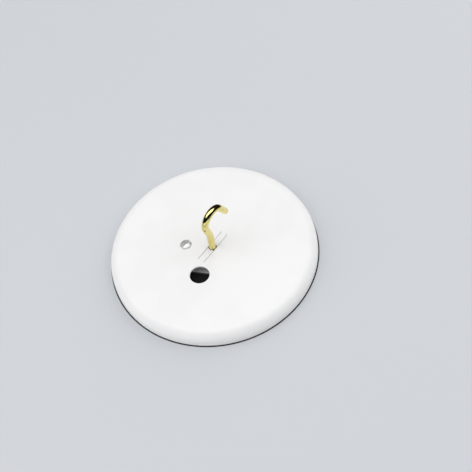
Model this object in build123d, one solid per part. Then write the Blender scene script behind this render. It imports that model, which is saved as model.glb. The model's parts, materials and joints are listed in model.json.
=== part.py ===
from build123d import *
import os
from math import cos, hypot, pi, radians, sin, tan

# The cover lies face up on its rim: +Z out of the face, the way the hook points, and X along the strap.
# The origin is the centre of the rim's back plane. All sizes are in millimetres.

# Cover
cover_diameter = 105.0
cover_depth = 8.0
cover_wall = 2.0
rim_round = 5.0
rim_foot_round = 0.4

# Cable hole, placed from the centre
cable_hole_diameter = 10.0
cable_hole_distance = 17.3
cable_hole_angle = -99.0
cable_hole_edge_round = 0.2
cable_hole_skin = 1.0
cable_hole_thin_margin = 1.5

# Bridge strap behind the cover, slotted for the two screws of a ceiling box
box_screw_spacing = 60.0
box_slot_width = 4.2
box_slot_length = 8.0
strap_width = 24.0
strap_end = 7.0
strap_thickness = 1.5
strap_recess = 0.3
strap_corner_round = 5.0
strap_edge_round = 0.3

# Hook, a round wire bent in one plane, with heights above the cover's face
wire_diameter = 3.6
hook_direction = 66.0
shank_rise = 11.2
set_back_angle = 15.5
set_back_run = 6.1
set_back_bend = 5.0
bow_radius = 6.3
tip_flare = 28.0
tip_run = 8.2
tip_round = 0.8

# Hook's thread, nut and lock washer
hook_thread_diameter = 4.0
hook_thread_spare = 0.4
nut_across_flats = 7.0
nut_height = 2.2
nut_corner_chamfer = 0.3
washer_diameter = 7.6
washer_thickness = 0.9
washer_split = 0.6
washer_split_slant = 20.0

# Cover screw and its boss
screw_distance = 13.8
screw_offset = -0.5
screw_thread_diameter = 3.0
screw_head_diameter = 5.6
screw_head_rise = 0.9
screw_slot_width = 0.8
screw_slot_depth = 0.9
screw_slot_direction = 55.0
screw_end_gap = 0.2
boss_wall = 1.8

# Slot inserts
insert_flange_width = 7.0
insert_flange_thickness = 1.0
insert_flange_overlap = 0.8
insert_leg_length = 4.2
insert_hollow = 0.4

# Clearances
thread_clearance = 0.05
screw_hole_clearance = 0.2
countersink_clearance = 0.15
washer_clearance = 0.1
hook_slot_clearance = 0.15
hook_pass_clearance = 0.1
insert_clearance = 0.3
insert_end_clearance = 0.05
insert_hook_clearance = 0.2
nut_clearance = 0.5

# Levels
cover_radius = cover_diameter / 2
cover_inside = cover_depth - cover_wall
strap_back = strap_recess
strap_front = strap_back + strap_thickness
washer_top = strap_front + washer_thickness
nut_top = washer_top + nut_height

# Nut's corners, further out than its flats
nut_corner_radius = nut_across_flats / 2 / cos(pi / 6)

# Hook's line in its own plane, across from the shank and up from the rim's back plane
set_back_tangent = set_back_bend * tan(radians(set_back_angle / 2))
shank_corner = (0.0, cover_depth + shank_rise)
bow_start = (
    -set_back_run * sin(radians(set_back_angle)),
    shank_corner[1] + set_back_run * cos(radians(set_back_angle)),
)
bow_centre = (
    bow_start[0] + bow_radius * cos(radians(set_back_angle)),
    bow_start[1] + bow_radius * sin(radians(set_back_angle)),
)
bow_end = (
    bow_centre[0] + bow_radius * cos(radians(tip_flare)),
    bow_centre[1] + bow_radius * sin(radians(tip_flare)),
)
tip_end = (
    bow_end[0] + tip_run * sin(radians(tip_flare)),
    bow_end[1] - tip_run * cos(radians(tip_flare)),
)

# Slot in the cover, long and wide enough to pass over the hook
hook_width = tip_end[0] - bow_centre[0] + bow_radius + wire_diameter
slot_length = hook_width + 2 * hook_pass_clearance
slot_width = wire_diameter + 2 * hook_slot_clearance

# Places
cable_hole_place = (
    cable_hole_distance * cos(radians(cable_hole_angle)),
    cable_hole_distance * sin(radians(cable_hole_angle)),
)
screw_place = (-screw_distance, screw_offset)


def upright(diameter, bottom, top, place=(0.0, 0.0)):
    """A cylinder that stands along Z from one level to another."""
    rod = Cylinder(diameter / 2, top - bottom, align=(Align.CENTER, Align.CENTER, Align.MIN))
    return Pos(place[0], place[1], bottom) * rod


def block(length, width, bottom, top, start):
    """A block along the hook's direction, from a distance out from the shank."""
    solid = Box(length, width, top - bottom, align=(Align.MIN, Align.CENTER, Align.MIN))
    return Rot(0, 0, hook_direction) * Pos(start, 0, bottom) * solid


def turned(outline):
    """A full turn about Z of an outline drawn in X and Z."""
    return revolve(make_face(Plane.XZ * outline), Axis.Z)


def cover_shell():
    """The disc and its rim, one wall thick and open at the back."""
    inner_radius = cover_radius - cover_wall
    inner_round = rim_round - cover_wall
    with BuildLine() as outline:
        Line((0, cover_inside), (0, cover_depth))
        Line((0, cover_depth), (cover_radius - rim_round, cover_depth))
        RadiusArc(
            (cover_radius - rim_round, cover_depth),
            (cover_radius, cover_depth - rim_round),
            rim_round,
        )
        Line((cover_radius, cover_depth - rim_round), (cover_radius, 0))
        Line((cover_radius, 0), (inner_radius, 0))
        Line((inner_radius, 0), (inner_radius, cover_inside - inner_round))
        RadiusArc(
            (inner_radius, cover_inside - inner_round),
            (inner_radius - inner_round, cover_inside),
            -inner_round,
        )
        Line((inner_radius - inner_round, cover_inside), (0, cover_inside))
    shell = turned(outline.line)
    foot = shell.faces().sort_by(Axis.Z)[0].edges().sort_by(SortBy.RADIUS)[-1]
    return fillet(foot, rim_foot_round)


def cover():
    """The moulded cover with its boss, slot, countersunk screw hole and cable hole in a thin skin."""
    solid = cover_shell()
    hole_diameter = screw_thread_diameter + 2 * screw_hole_clearance
    boss_diameter = hole_diameter + 2 * boss_wall
    solid += upright(boss_diameter, strap_front, cover_inside, screw_place)
    solid -= upright(hole_diameter, strap_front, cover_depth, screw_place)
    sink_radius = screw_head_diameter / 2 + countersink_clearance
    sink = Cone(0, sink_radius, sink_radius, align=(Align.CENTER, Align.CENTER, Align.MAX))
    solid -= Pos(screw_place[0], screw_place[1], cover_depth) * sink
    solid -= block(slot_length, slot_width, cover_inside, cover_depth, -slot_length / 2)
    thin_diameter = cable_hole_diameter + 2 * cable_hole_thin_margin
    solid -= upright(thin_diameter, cover_inside, cover_depth - cable_hole_skin, cable_hole_place)
    solid -= upright(cable_hole_diameter, cover_inside, cover_depth, cable_hole_place)
    hole_edges = solid.edges().filter_by(GeomType.CIRCLE).filter_by(
        lambda edge: hypot(
            edge.arc_center.X - cable_hole_place[0], edge.arc_center.Y - cable_hole_place[1]
        ) < cable_hole_edge_round and edge.arc_center.Z > cover_depth - cable_hole_edge_round
    )
    return fillet(hole_edges, cable_hole_edge_round)


def slot_insert(turn):
    """One filler of the slot: flush in the face, hollowed for the wire, flanged and on the strap."""
    slot_half = slot_length / 2
    nut_reach = nut_corner_radius + nut_clearance
    body_width = slot_width - 2 * insert_clearance
    hollow_diameter = wire_diameter + 2 * insert_hook_clearance
    body_start = hollow_diameter / 2 - insert_hollow
    body_length = slot_half - insert_end_clearance - body_start
    flange_length = slot_half + insert_flange_overlap - nut_reach
    flange_bottom = cover_inside - insert_flange_thickness
    solid = block(body_length, body_width, cover_inside, cover_depth, body_start)
    solid -= upright(hollow_diameter, cover_inside, cover_depth)
    solid += block(flange_length, insert_flange_width, flange_bottom, cover_inside, nut_reach)
    solid += block(insert_leg_length, body_width, strap_front, flange_bottom, nut_reach)
    return Rot(0, 0, turn) * solid


def bridge_strap():
    """The flat steel bar that carries the hook and takes the cover screw."""
    outline = RectangleRounded(box_screw_spacing + 2 * strap_end, strap_width, strap_corner_round)
    bar = Pos(0, 0, strap_back) * extrude(outline, strap_thickness)
    bar = fillet(bar.edges().group_by(Axis.Z)[-1], strap_edge_round)
    bar -= upright(hook_thread_diameter + 2 * thread_clearance, strap_back, strap_front)
    bar -= upright(screw_thread_diameter + 2 * thread_clearance, strap_back, strap_front, screw_place)
    for side in (-1, 1):
        slot = extrude(SlotOverall(box_slot_length, box_slot_width), strap_thickness)
        bar -= Pos(side * box_screw_spacing / 2, 0, strap_back) * slot
    return bar


def hook():
    """The bent wire, with a thicker rolled thread at its lower end."""
    across = (cos(radians(hook_direction)), sin(radians(hook_direction)), 0)
    plane = Plane(origin=(0, 0, 0), x_dir=across, z_dir=(across[1], -across[0], 0))
    thread_top = nut_top + hook_thread_spare
    with BuildLine(plane) as path:
        shank = Line((0, strap_back), (0, shank_corner[1] - set_back_tangent))
        bend = JernArc(shank @ 1, shank % 1, set_back_bend, set_back_angle)
        run = Line(bend @ 1, plane.from_local_coords(bow_start))
        bow = JernArc(run @ 1, run % 1, bow_radius, tip_flare - 180 - set_back_angle)
        Line(bow @ 1, plane.from_local_coords(tip_end))
    section = Plane(origin=(0, 0, strap_back)) * Circle(wire_diameter / 2)
    wire = sweep(section, path=path.line)
    tip = plane.from_local_coords(tip_end)
    end_edge = wire.edges().filter_by(GeomType.CIRCLE).sort_by(
        lambda edge: (Vector(edge.arc_center) - Vector(tip)).length
    )[0]
    wire = fillet(end_edge, tip_round)
    return wire + upright(hook_thread_diameter, strap_back, thread_top)


def hook_nut():
    """The thin hexagon nut that locks the hook."""
    blank = upright(2 * nut_corner_radius, washer_top, nut_top)
    blank = chamfer(blank.edges().filter_by(GeomType.CIRCLE), nut_corner_chamfer)
    hexagon = RegularPolygon(nut_corner_radius, side_count=6)
    nut = blank & Pos(0, 0, washer_top) * extrude(hexagon, nut_height)
    return nut - upright(hook_thread_diameter + 2 * thread_clearance, washer_top, nut_top)


def lock_washer():
    """The split spring washer under the nut."""
    ring = upright(washer_diameter, strap_front, washer_top)
    ring -= upright(hook_thread_diameter + 2 * washer_clearance, strap_front, washer_top)
    split = Box(
        washer_diameter,
        washer_split,
        washer_diameter,
        align=(Align.MIN, Align.CENTER, Align.CENTER),
    )
    middle = (strap_front + washer_top) / 2
    return ring - Pos(0, 0, middle) * Rot(washer_split_slant, 0, 0) * split


def cover_screw():
    """The raised countersunk screw, slotted, which ends inside the strap."""
    head_radius = screw_head_diameter / 2
    thread_radius = screw_thread_diameter / 2
    cone_height = head_radius - thread_radius
    screw_end = strap_back + screw_end_gap
    with BuildLine() as outline:
        Line((0, screw_end), (thread_radius, screw_end))
        Line((thread_radius, screw_end), (thread_radius, cover_depth - cone_height))
        Line((thread_radius, cover_depth - cone_height), (head_radius, cover_depth))
        lens_radius = (head_radius**2 + screw_head_rise**2) / (2 * screw_head_rise)
        RadiusArc((head_radius, cover_depth), (0, cover_depth + screw_head_rise), -lens_radius)
        Line((0, cover_depth + screw_head_rise), (0, screw_end))
    solid = turned(outline.line)
    slot_bottom = cover_depth + screw_head_rise - screw_slot_depth
    slot = Box(
        screw_head_diameter,
        screw_slot_width,
        screw_head_diameter,
        align=(Align.CENTER, Align.CENTER, Align.MIN),
    )
    solid -= Pos(0, 0, slot_bottom) * Rot(0, 0, screw_slot_direction) * slot
    return Pos(screw_place[0], screw_place[1], 0) * solid


pieces = {
    "cover": cover(),
    "slot_insert_far": slot_insert(0),
    "slot_insert_near": slot_insert(180),
    "bridge_strap": bridge_strap(),
    "hook": hook(),
    "hook_nut": hook_nut(),
    "lock_washer": lock_washer(),
    "cover_screw": cover_screw(),
}

os.makedirs("parts", exist_ok=True)
for name, piece in pieces.items():
    export_step(piece, f"parts/{name}.step")
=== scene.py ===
import json
from math import cos, hypot, pi, radians, sin, tan

import bmesh
import bpy
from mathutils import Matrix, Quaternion, Vector


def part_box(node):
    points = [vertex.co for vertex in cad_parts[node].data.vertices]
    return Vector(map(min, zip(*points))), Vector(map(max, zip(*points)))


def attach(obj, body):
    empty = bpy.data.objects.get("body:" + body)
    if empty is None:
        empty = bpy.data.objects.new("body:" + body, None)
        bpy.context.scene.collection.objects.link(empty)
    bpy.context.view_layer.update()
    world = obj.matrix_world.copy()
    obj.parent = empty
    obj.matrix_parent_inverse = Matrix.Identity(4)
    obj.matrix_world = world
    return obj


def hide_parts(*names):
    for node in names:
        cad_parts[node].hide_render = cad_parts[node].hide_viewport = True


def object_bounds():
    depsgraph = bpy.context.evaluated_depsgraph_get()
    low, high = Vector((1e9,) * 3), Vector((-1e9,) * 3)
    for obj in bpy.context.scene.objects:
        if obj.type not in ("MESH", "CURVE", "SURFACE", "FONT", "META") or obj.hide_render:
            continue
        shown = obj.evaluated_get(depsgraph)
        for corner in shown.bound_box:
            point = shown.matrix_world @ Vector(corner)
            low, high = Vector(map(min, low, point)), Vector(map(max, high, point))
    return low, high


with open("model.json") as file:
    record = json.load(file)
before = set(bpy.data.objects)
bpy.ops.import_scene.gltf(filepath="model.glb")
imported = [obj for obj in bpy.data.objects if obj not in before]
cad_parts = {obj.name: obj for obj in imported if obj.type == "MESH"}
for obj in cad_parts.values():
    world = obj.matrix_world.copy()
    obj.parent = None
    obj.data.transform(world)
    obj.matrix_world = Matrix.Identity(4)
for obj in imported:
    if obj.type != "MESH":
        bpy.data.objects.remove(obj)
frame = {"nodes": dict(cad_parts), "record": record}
cad_low, cad_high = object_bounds()

mm = 0.001
up = Vector((0, 0, 1))

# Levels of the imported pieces
face_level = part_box("cover")[1].z
strap_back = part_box("bridge_strap")[0].z
nut_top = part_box("hook_nut")[1].z

# Hook: one wire, bent in a single upright plane that is turned from the strap by this angle
wire_radius = 1.8 * mm
hook_direction = radians(66)
shank_rise = 11.2 * mm
set_back_angle = radians(15.5)
set_back_run = 6.1 * mm
set_back_bend = 5.0 * mm
bow_radius = 6.3 * mm
tip_flare = radians(28)
tip_run = 8.2 * mm
tip_round = 0.8 * mm
tip_round_steps = 6
bend_step = radians(4)

# Hook's rolled M4 thread, which chamfers in at its end and runs out into the shank above the nut
thread_radius = 2.0 * mm
thread_root_radius = 1.57 * mm
thread_pitch = 0.7 * mm
thread_spare = 0.4 * mm
thread_lead = 0.4 * mm
thread_run_out = 0.7 * mm
thread_sides = 48
thread_spare_turns = 3
thread_weld_gap = 0.7e-3 * mm
# The profile's places along one pitch: where it reaches its crest, leaves it and is back at its root
crest_start = 0.31
crest_end = 0.44
root_start = 0.75

# A finished mesh shades smoothly but for edges sharper than this
sharp_angle = radians(35)

# Octaves of a soft pattern, a fine one and one as fine as polishing marks
soft_detail = 2.0
fine_detail = 3.0
finest_detail = 4.0

# Camera: aimed at a point on the face, with the turn that leans the cover in the picture
camera_aim = Vector((10.32, 8.08, 7.92)) * mm
camera_distance = 692.3 * mm
camera_azimuth = radians(22.39)
camera_elevation = radians(55.12)
camera_turn = radians(-12.02)
camera_lens = 105.0  # in millimetres, as Blender has it
camera_clip_start = 10 * mm

# Studio floor: lit near the object, and seen at its own plain level beyond the reach of the lamps
floor_radius = 40.0
floor_sides = 96
floor_colour = (0.60, 0.62, 0.65, 1.0)
floor_lit_reach = 0.35
floor_glow_reach = 1.1

# Painted shade on the floor inside the cover, which reaches just past the rim as a thin painted contact
# shadow
painted_shade_colour = (0.02, 0.02, 0.022, 1.0)
painted_shade_reach = cad_high.x + 0.8 * mm
painted_shade_blend = 0.4 * mm

# What surfaces receive from the sky, and the dark surroundings that metal mirrors: the floor is dark
# far out on one side, and the sky all round
fill_colour = (0.49, 0.49, 0.50, 1.0)
dark_colour = (0.008, 0.009, 0.010, 1.0)
dark_side = (0.5, 0.866, 0.0)
dark_start = 70 * mm
dark_full = 95 * mm

# Lamps stand this far from the cover, in metres as their sizes are
lamp_distance = 0.9


class Value:
    """An output of a node, on which sums are written as they are on numbers."""

    def __init__(self, tree, socket):
        self.tree = tree
        self.socket = socket

    def maths(self, operation, first, second):
        return self.tree.node("ShaderNodeMath", {"operation": operation}, {0: first, 1: second})

    def __add__(self, other):
        return self.maths("ADD", self, other)

    __radd__ = __add__

    def __sub__(self, other):
        return self.maths("SUBTRACT", self, other)

    def __rsub__(self, other):
        return self.maths("SUBTRACT", other, self)

    def __mul__(self, other):
        return self.maths("MULTIPLY", self, other)

    __rmul__ = __mul__


class Tree:
    """The nodes of one material or of the world."""

    def __init__(self, owner):
        owner.use_nodes = True
        self.nodes = owner.node_tree.nodes
        self.links = owner.node_tree.links
        self.nodes.clear()

    def node(self, kind, settings=None, sockets=None, output=0):
        """A new node with its settings, then its sockets by values or links, read at one output."""
        made = self.nodes.new(kind)
        for name, setting in (settings or {}).items():
            setattr(made, name, setting)
        for name, given in (sockets or {}).items():
            if isinstance(given, Value):
                self.links.new(given.socket, made.inputs[name])
            else:
                made.inputs[name].default_value = given
        return Value(self, made.outputs[output]) if made.outputs else None

    def place(self):
        """The point on the piece, in metres."""
        return self.node("ShaderNodeTexCoord", output="Object")

    def noise(self, place, size, detail=soft_detail, roughness=0.5):
        """Soft patches of about one size, from 0 to 1."""
        sockets = {"Vector": place, "Scale": 1 / size, "Detail": detail, "Roughness": roughness}
        return self.node("ShaderNodeTexNoise", sockets=sockets)

    def between(self, value, low, high):
        """0 below one level, 1 above another and smooth in between."""
        sockets = {"Value": value, "From Min": low, "From Max": high}
        return self.node("ShaderNodeMapRange", {"interpolation_type": "SMOOTHSTEP"}, sockets)

    def mix(self, share, first, second):
        """One colour turning into another: sockets 6 and 7 of a Mix node hold them, and output 2."""
        return self.node("ShaderNodeMix", {"data_type": "RGBA"}, {0: share, 6: first, 7: second}, 2)

    def bump(self, height, depth):
        """The slope of a height, with the depth in metres that 1 stands for."""
        return self.node("ShaderNodeBump", sockets={"Height": height, "Distance": depth, "Strength": 1.0})

    def light_path(self, ray):
        """1 on one kind of ray and 0 on the others."""
        return self.node("ShaderNodeLightPath", output=ray)

    def surface(self, sockets):
        """How the piece takes light, by the sockets of the Principled shader."""
        return self.node("ShaderNodeBsdfPrincipled", sockets=sockets)

    def finish(self, shader, kind="ShaderNodeOutputMaterial"):
        self.node(kind, sockets={"Surface": shader})


def new_material(name):
    material = bpy.data.materials.new(name)
    return material, Tree(material)


def white_plastic():
    """Satin moulded plastic: a fine even grain, slow waves and a breath of warmer white."""
    cloud_size, wave_size, grain_size = 22 * mm, 9 * mm, 0.3 * mm
    patch_start, patch_full = 0.35, 0.65
    warm_white, clear_white = (0.845, 0.842, 0.835, 1), (0.868, 0.865, 0.860, 1)
    satin, cloud_haze, grain_haze = 0.42, 0.08, 0.05
    wave_share = 6
    relief = 0.004 * mm
    plastic_ior = 1.46
    material, tree = new_material("white moulded plastic")
    place = tree.place()
    cloud = tree.noise(place, cloud_size)
    wave = tree.noise(place, wave_size)
    grain = tree.noise(place, grain_size, fine_detail)
    patches = tree.between(cloud, patch_start, patch_full)
    tree.finish(tree.surface({
        "Base Color": tree.mix(patches, warm_white, clear_white),
        "Roughness": satin + cloud_haze * cloud + grain_haze * grain,
        "Normal": tree.bump(wave * wave_share + grain, relief),
        "IOR": plastic_ior,
    }))
    return material


def polished_brass():
    """Bright lacquered brass: polishing marks, faint haze and slightly deeper colour in patches."""
    haze_size, mark_size = 3 * mm, 0.25 * mm
    mark_harshness = 0.7
    patch_start, patch_full = 0.35, 0.7
    pale_brass, deep_brass = (0.82, 0.725, 0.31, 1), (0.73, 0.62, 0.22, 1)
    polish, haze_blur, mark_blur = 0.07, 0.08, 0.04
    relief = 0.0015 * mm
    material, tree = new_material("polished brass")
    place = tree.place()
    haze = tree.noise(place, haze_size, fine_detail)
    marks = tree.noise(place, mark_size, finest_detail, mark_harshness)
    patches = tree.between(haze, patch_start, patch_full)
    tree.finish(tree.surface({
        "Base Color": tree.mix(patches, pale_brass, deep_brass),
        "Metallic": 1.0,
        "Roughness": polish + haze_blur * haze + mark_blur * marks,
        "Normal": tree.bump(marks, relief),
    }))
    return material


def galvanised_sheet():
    """Galvanised steel: crystal spangle in the zinc, with dark upright sheared edges, partly bare cut
    steel and partly painted shade.
    """
    spangle_size, grain_size = 5 * mm, 0.2 * mm
    dark_spangle, pale_spangle = (0.62, 0.62, 0.61, 1), (0.74, 0.74, 0.73, 1)
    sheared_steel_and_shade = (0.20, 0.20, 0.19, 1)
    edge_start, edge_full = 0.3, 0.02
    zinc_metal, spangle_metal = 0.20, 0.15
    zinc_blur, spangle_blur, grain_blur = 0.42, 0.14, 0.08
    relief = 0.004 * mm
    material, tree = new_material("galvanised sheet")
    place = tree.place()
    cells = {"Vector": place, "Scale": 1 / spangle_size}
    spangle = tree.node("ShaderNodeTexVoronoi", {"feature": "F1"}, cells, "Color")
    shade = tree.node("ShaderNodeSeparateColor", sockets={"Color": spangle})
    grain = tree.noise(place, grain_size, fine_detail)
    facing = tree.node("ShaderNodeTexCoord", output="Normal")
    upward = tree.node("ShaderNodeSeparateXYZ", sockets={"Vector": facing}, output="Z")
    # Upright faces are painted dark: partly bare sheared steel, partly painted shade on the side faces
    # that sit in shade
    edge = 1 - tree.between(upward * upward, edge_full, edge_start)
    tree.finish(tree.surface({
        "Base Color": tree.mix(edge, tree.mix(shade, dark_spangle, pale_spangle), sheared_steel_and_shade),
        "Metallic": zinc_metal + spangle_metal * shade,
        "Roughness": zinc_blur + spangle_blur * shade + grain_blur * grain,
        "Normal": tree.bump(shade + grain, relief),
    }))
    return material


def zinc_plate():
    """Bright zinc plate: a cold white metal with a faint straw tint and a fine frost."""
    tint_size, frost_size = 1.6 * mm, 0.15 * mm
    patch_start, patch_full = 0.3, 0.7
    cold_zinc, straw_zinc = (0.64, 0.65, 0.67, 1), (0.70, 0.69, 0.66, 1)
    zinc_metal = 0.6
    zinc_blur, tint_blur, frost_blur = 0.30, 0.08, 0.10
    relief = 0.002 * mm
    material, tree = new_material("bright zinc plate")
    place = tree.place()
    tint = tree.noise(place, tint_size)
    frost = tree.noise(place, frost_size, fine_detail)
    patches = tree.between(tint, patch_start, patch_full)
    tree.finish(tree.surface({
        "Base Color": tree.mix(patches, cold_zinc, straw_zinc),
        "Metallic": zinc_metal,
        "Roughness": zinc_blur + tint_blur * tint + frost_blur * frost,
        "Normal": tree.bump(frost, relief),
    }))
    return material


def studio_board():
    """Matt pale board with painted shade inside the cover and a thin painted contact shadow at the rim,
    that the camera sees carry on for ever.
    """
    fibre_size = 1.2 * mm
    matt, fibre_blur = 0.8, 0.1
    board_gloss = 0.2
    material, tree = new_material("pale studio board")
    place = tree.place()
    away = tree.node("ShaderNodeVectorMath", {"operation": "LENGTH"}, {0: place}, "Value")
    fibre = tree.noise(place, fibre_size, fine_detail)
    # Painted shade under the cover, ending in a thin painted contact shadow just past the rim
    open_floor = tree.between(away, painted_shade_reach - painted_shade_blend, painted_shade_reach)
    lit = tree.surface({
        "Base Color": tree.mix(open_floor, painted_shade_colour, floor_colour),
        "Roughness": matt + fibre_blur * fibre,
        "Specular IOR Level": board_gloss,
    })
    glow = tree.node("ShaderNodeEmission", sockets={"Color": floor_colour})
    beyond = tree.light_path("Is Camera Ray") * tree.between(away, floor_lit_reach, floor_glow_reach)
    pale = tree.node("ShaderNodeMixShader", sockets={0: beyond, 1: lit, 2: glow})
    directions = {0: place, 1: dark_side}
    rearward = tree.node("ShaderNodeVectorMath", {"operation": "DOT_PRODUCT"}, directions, "Value")
    dark = tree.node("ShaderNodeEmission", sockets={"Color": dark_colour})
    mirrored = tree.light_path("Is Glossy Ray") * tree.between(rearward, dark_start, dark_full)
    tree.finish(tree.node("ShaderNodeMixShader", sockets={0: mirrored, 1: pale, 2: dark}))
    return material


finishes = {
    "white_plastic": white_plastic(),
    "polished_brass": polished_brass(),
    "galvanised_steel": galvanised_sheet(),
    "zinc_plated_steel": zinc_plate(),
}


def new_piece(name, bm, material):
    """A mesh object of a finished shape."""
    bmesh.ops.recalc_face_normals(bm, faces=bm.faces[:])
    mesh = bpy.data.meshes.new(name)
    bm.to_mesh(mesh)
    bm.free()
    mesh.shade_smooth()
    mesh.set_sharp_from_angle(angle=sharp_angle)
    mesh.materials.append(material)
    piece = bpy.data.objects.new(name, mesh)
    bpy.context.scene.collection.objects.link(piece)
    return piece


def edges_of(geometry):
    return [item for item in geometry if isinstance(item, bmesh.types.BMEdge)]


def verts_of(geometry):
    return [item for item in geometry if isinstance(item, bmesh.types.BMVert)]


def cut_off(bm, level, **side):
    """The mesh without what lies below or above a level. Returns the edges of the cut."""
    everything = bm.verts[:] + bm.edges[:] + bm.faces[:]
    cut = bmesh.ops.bisect_plane(bm, geom=everything, plane_co=up * level, plane_no=up, **side)
    return edges_of(cut["geom_cut"])


def drawn_out(bm, ring, shift):
    """The ring's edges extruded along a shift, which lengthens the wire."""
    made = bmesh.ops.extrude_edge_only(bm, edges=ring)["geom"]
    bmesh.ops.translate(bm, verts=verts_of(made), vec=shift)
    return edges_of(made)


def bent(bm, ring, centre, axis, angle):
    """The ring's edges spun about a centre, which bends the wire."""
    verts = list(dict.fromkeys(vert for edge in ring for vert in edge.verts))
    steps = max(2, round(abs(angle) / bend_step))
    spun = bmesh.ops.spin(
        bm, geom=verts + ring, cent=centre, axis=axis, dvec=(0, 0, 0), angle=angle, steps=steps
    )
    return edges_of(spun["geom_last"])


def thread(bm, bottom, top):
    """The hook's thread about Z, from its chamfered end to its run-out. Returns the ring at its top."""
    thread_depth = thread_radius - thread_root_radius
    turns = int((top - bottom) / thread_pitch) + thread_spare_turns
    profile = [
        (thread_root_radius, 0.0),
        (thread_radius, crest_start),
        (thread_radius, crest_end),
        (thread_root_radius, root_start),
        (thread_root_radius, 1.0),
    ]
    verts = [bm.verts.new((radius, 0, bottom + (rise - 1) * thread_pitch)) for radius, rise in profile]
    edges = [bm.edges.new(pair) for pair in zip(verts, verts[1:])]
    bmesh.ops.spin(
        bm, geom=verts + edges, cent=(0, 0, 0), axis=up, dvec=up * (thread_pitch / thread_sides),
        angle=turns * 2 * pi, steps=turns * thread_sides,
    )
    bmesh.ops.remove_doubles(bm, verts=bm.verts[:], dist=thread_weld_gap)
    run_out_start = top - thread_run_out
    for vert in bm.verts:
        radius = hypot(vert.co.x, vert.co.y)
        led_in = min(max((vert.co.z - bottom) / thread_lead, 0), 1)
        run_out = min(max((vert.co.z - run_out_start) / (thread_run_out - thread_pitch / 2), 0), 1)
        threaded = min(radius, thread_root_radius + thread_depth * led_in)
        vert.co.xy *= (threaded * (1 - run_out) + wire_radius * run_out) / radius
    bmesh.ops.contextual_create(bm, geom=cut_off(bm, bottom, clear_inner=True))
    return cut_off(bm, top, clear_outer=True)


def brass_hook():
    """The hook: threaded shank, small set back, bow and flared tip, bent from one wire."""
    across = Vector((cos(hook_direction), sin(hook_direction), 0))
    flat = across.cross(up)
    along_run = -sin(set_back_angle) * across + cos(set_back_angle) * up
    out_of_run = cos(set_back_angle) * across + sin(set_back_angle) * up
    along_tip = sin(tip_flare) * across - cos(tip_flare) * up
    tangent = set_back_bend * tan(set_back_angle / 2)
    corner = up * (face_level + shank_rise)
    bend_centre = corner - up * tangent - across * set_back_bend
    bow_start = corner + along_run * set_back_run
    bow_centre = bow_start + out_of_run * bow_radius
    thread_top = nut_top + thread_spare
    bm = bmesh.new()
    ring = thread(bm, strap_back, thread_top)
    ring = drawn_out(bm, ring, up * (corner.z - tangent - thread_top))
    ring = bent(bm, ring, bend_centre, flat, set_back_angle)
    ring = drawn_out(bm, ring, along_run * (set_back_run - tangent))
    ring = bent(bm, ring, bow_centre, flat, tip_flare - pi - set_back_angle)
    ring = drawn_out(bm, ring, along_tip * tip_run)
    bmesh.ops.contextual_create(bm, geom=ring)
    bmesh.ops.bevel(
        bm, geom=ring, offset=tip_round, offset_type="OFFSET", segments=tip_round_steps, profile=0.5,
        affect="EDGES", material=-1,
    )
    piece = new_piece("brass_hook", bm, finishes["polished_brass"])
    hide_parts("hook")
    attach(piece, "root")


def dress_packed_pieces():
    """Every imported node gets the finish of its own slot."""
    for part in frame["record"]["subparts"]:
        for place in frame["nodes"][part["node"]].material_slots:
            place.material = finishes[part["material_slot"]]


def studio_floor():
    bm = bmesh.new()
    bmesh.ops.create_circle(bm, cap_ends=True, radius=floor_radius, segments=floor_sides)
    floor = new_piece("studio_floor", bm, studio_board())


def studio_sky():
    """Soft fill on every surface, dark in the metal's reflections and pale behind the object."""
    world = bpy.data.worlds.new("studio")
    bpy.context.scene.world = world
    tree = Tree(world)
    unseen = tree.mix(tree.light_path("Is Glossy Ray"), fill_colour, dark_colour)
    colour = tree.mix(tree.light_path("Is Camera Ray"), unseen, floor_colour)
    background = tree.node("ShaderNodeBackground", sockets={"Color": colour, "Strength": 1.0})
    tree.finish(background, "ShaderNodeOutputWorld")


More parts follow.
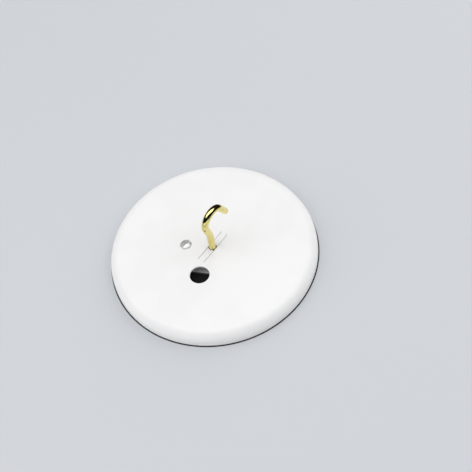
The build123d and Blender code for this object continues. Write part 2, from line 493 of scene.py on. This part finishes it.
def towards(azimuth, elevation):
    """The direction from the cover to what stands at an azimuth and an elevation."""
    return Vector((
        sin(azimuth) * cos(elevation),
        -cos(azimuth) * cos(elevation),
        sin(elevation),
    ))


def softbox(name, azimuth, elevation, width, height, brightness, mirrored=True, lights=True):
    """A flat lamp that faces the cover, at angles in degrees, for reflections, for light or for both.

    Its face looks plain white at a brightness of 1.
    """
    lamp = bpy.data.lights.new(name, "AREA")
    lamp.shape = "RECTANGLE"
    lamp.size = width
    lamp.size_y = height
    lamp.energy = brightness * pi * width * height
    back = towards(radians(azimuth), radians(elevation))
    stand = bpy.data.objects.new(name, lamp)
    stand.location = back * lamp_distance
    stand.rotation_mode = "QUATERNION"
    stand.rotation_quaternion = back.to_track_quat("Z", "Y")
    stand.visible_glossy = mirrored
    stand.visible_diffuse = lights
    bpy.context.scene.collection.objects.link(stand)


def camera():
    back = towards(camera_azimuth, camera_elevation)
    view = bpy.data.cameras.new("camera")
    view.lens = camera_lens
    view.clip_start = camera_clip_start
    stand = bpy.data.objects.new("camera", view)
    stand.location = camera_aim + back * camera_distance
    stand.rotation_mode = "QUATERNION"
    facing = (-back).to_track_quat("-Z", "Y")
    stand.rotation_quaternion = facing @ Quaternion(up, camera_turn)
    bpy.context.scene.collection.objects.link(stand)
    bpy.context.scene.camera = stand


dress_packed_pieces()
brass_hook()
studio_floor()
studio_sky()
# The panel and the card are what the metal mirrors, and the fills light the surfaces evenly
softbox("overhead panel", azimuth=-158, elevation=84, width=1.7, height=0.73, brightness=2.6, lights=False)
softbox("back fill", azimuth=165, elevation=28, width=1.0, height=1.0, brightness=1.15, mirrored=False)
softbox("front card", azimuth=5, elevation=9, width=1.9, height=0.26, brightness=1.1, lights=False)
softbox("left fill", azimuth=-60, elevation=35, width=1.0, height=1.0, brightness=1.26, mirrored=False)
softbox("camera fill", azimuth=22, elevation=58, width=1.0, height=0.8, brightness=0.62, mirrored=False)
softbox("right fill", azimuth=100, elevation=35, width=1.0, height=0.8, brightness=0.74, mirrored=False)
camera()
bpy.context.scene.view_settings.view_transform = "Standard"
